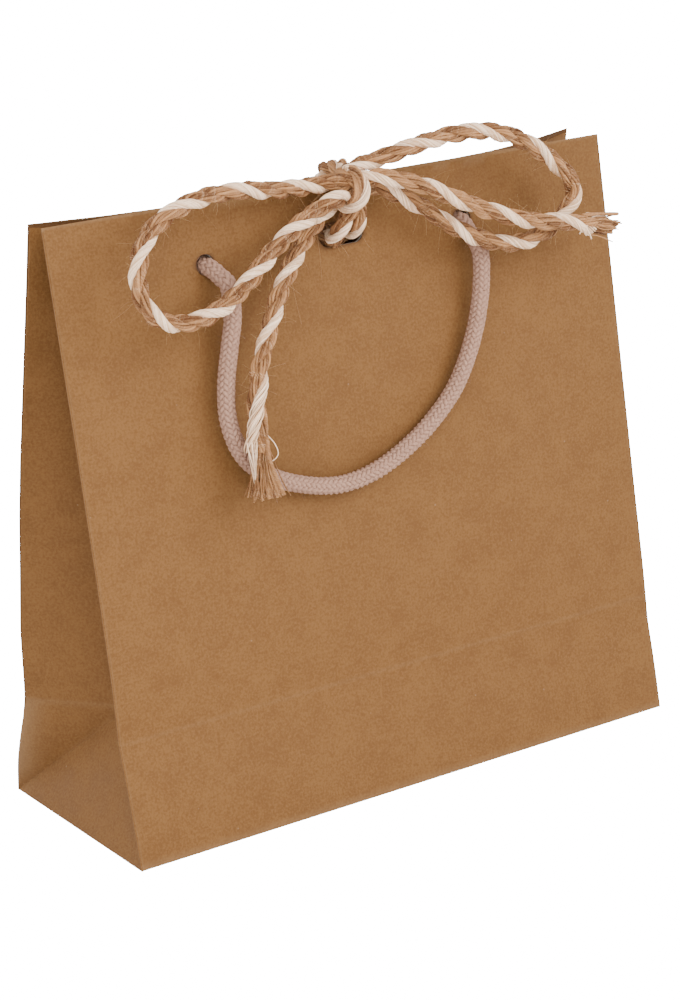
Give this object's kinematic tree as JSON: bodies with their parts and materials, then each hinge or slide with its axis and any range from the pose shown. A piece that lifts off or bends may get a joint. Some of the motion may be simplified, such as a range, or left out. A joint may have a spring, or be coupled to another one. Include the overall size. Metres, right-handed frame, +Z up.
{
  "type": "gift bag",
  "caption": "Small kraft paper gift bag with V-folded gussets, a block bottom, knotted cotton rope handles and a jute and cotton ribbon tied in a bow through slots at the mouth.",
  "frame": {"origin": "centre of the base, on the surface that the bag stands on", "axes": "+X along the bag's width, to the right seen from the front; -Y out of the front wall; +Z up"},
  "size_m": [0.21, 0.08, 0.2106],
  "materials": {
    "kraft_paper": "uncoated brown kraft, faintly mottled",
    "kraft_inside": "uncoated brown kraft, inner side",
    "grey_card": "matte grey board",
    "cotton_rope": "braided mauve cotton rope",
    "jute_ribbon": "three-strand twist of two jute strands and one cream cotton strand"
  },
  "bodies": {
    "bag": {"front_panel": "kraft_paper", "back_panel": "kraft_paper", "left_gusset_front_leaf": "kraft_paper", "left_gusset_back_leaf": "kraft_paper", "right_gusset_front_leaf": "kraft_paper", "right_gusset_back_leaf": "kraft_paper", "left_base_triangle": "kraft_paper", "right_base_triangle": "kraft_paper", "bottom_front_flap": "kraft_paper", "bottom_back_flap": "kraft_paper", "front_top_hem": "kraft_inside", "back_top_hem": "kraft_inside", "bottom_left_flap": "kraft_inside", "bottom_right_flap": "kraft_inside", "back_seam_flap": "kraft_inside", "front_card_strip": "grey_card", "back_card_strip": "grey_card", "base_board": "grey_card", "front_handle_left_knot": "cotton_rope", "front_handle_right_knot": "cotton_rope", "back_handle_left_knot": "cotton_rope", "back_handle_right_knot": "cotton_rope", "ribbon_knot": "jute_ribbon", "ribbon_left_turn": "jute_ribbon", "ribbon_right_turn": "jute_ribbon", "ribbon_left_loop": "jute_ribbon", "ribbon_right_loop": "jute_ribbon", "ribbon_left_tail": "jute_ribbon", "ribbon_right_tail": "jute_ribbon", "ribbon_left_frayed_end": "jute_ribbon", "ribbon_right_frayed_end": "jute_ribbon"},
    "front_handle": {"front_handle_rope": "cotton_rope"},
    "back_handle": {"back_handle_rope": "cotton_rope"}
  },
  "joints": [
    {"name": "front_handle_swing", "type": "hinge", "parent": "bag", "child": "front_handle", "pos_m": [-0.00275, -0.01621, 0.17906], "axis": [-1, 0, 0], "range_deg": [0, 170], "deforming": ["ribbon_left_loop", "ribbon_left_tail", "ribbon_left_frayed_end", "ribbon_right_loop", "ribbon_right_tail", "ribbon_right_frayed_end"]},
    {"name": "back_handle_swing", "type": "hinge", "parent": "bag", "child": "back_handle", "pos_m": [-0.00275, 0.01621, 0.17906], "axis": [1, 0, 0], "range_deg": [0, 170]}
  ]
}
